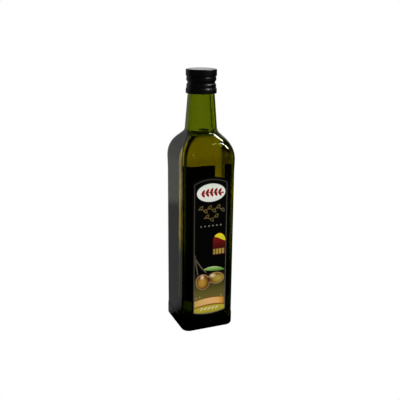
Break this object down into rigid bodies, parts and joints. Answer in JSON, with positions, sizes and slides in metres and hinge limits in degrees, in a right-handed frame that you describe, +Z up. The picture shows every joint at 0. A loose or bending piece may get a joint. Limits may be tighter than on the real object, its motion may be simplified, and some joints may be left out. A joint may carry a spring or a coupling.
{
  "type": "olive oil bottle",
  "caption": "Square green glass bottle with a domed shoulder and tapering round neck, filled with oil and shut with a black screw cap, with a label front and back.",
  "frame": {"origin": "centre of the underside, on the surface that the bottle stands on", "axes": "+Z up along the bottle to the cap; the front face, with the larger label, looks along -Y; +X to the right of someone who faces the front"},
  "size_m": [0.058, 0.058, 0.2742],
  "materials": {
    "green_glass": "blown glass, dark olive green, fire polished",
    "olive_oil": "clear golden green oil",
    "black_cap": "rolled aluminium with a gloss black lacquer",
    "front_label_paper": "coated paper label with varnished coloured print",
    "back_label_paper": "coated black paper label"
  },
  "bodies": {
    "root": {"bottle": "green_glass", "oil": "olive_oil", "cap": "black_cap", "front_label": "front_label_paper", "back_label": "back_label_paper"}
  },
  "joints": []
}
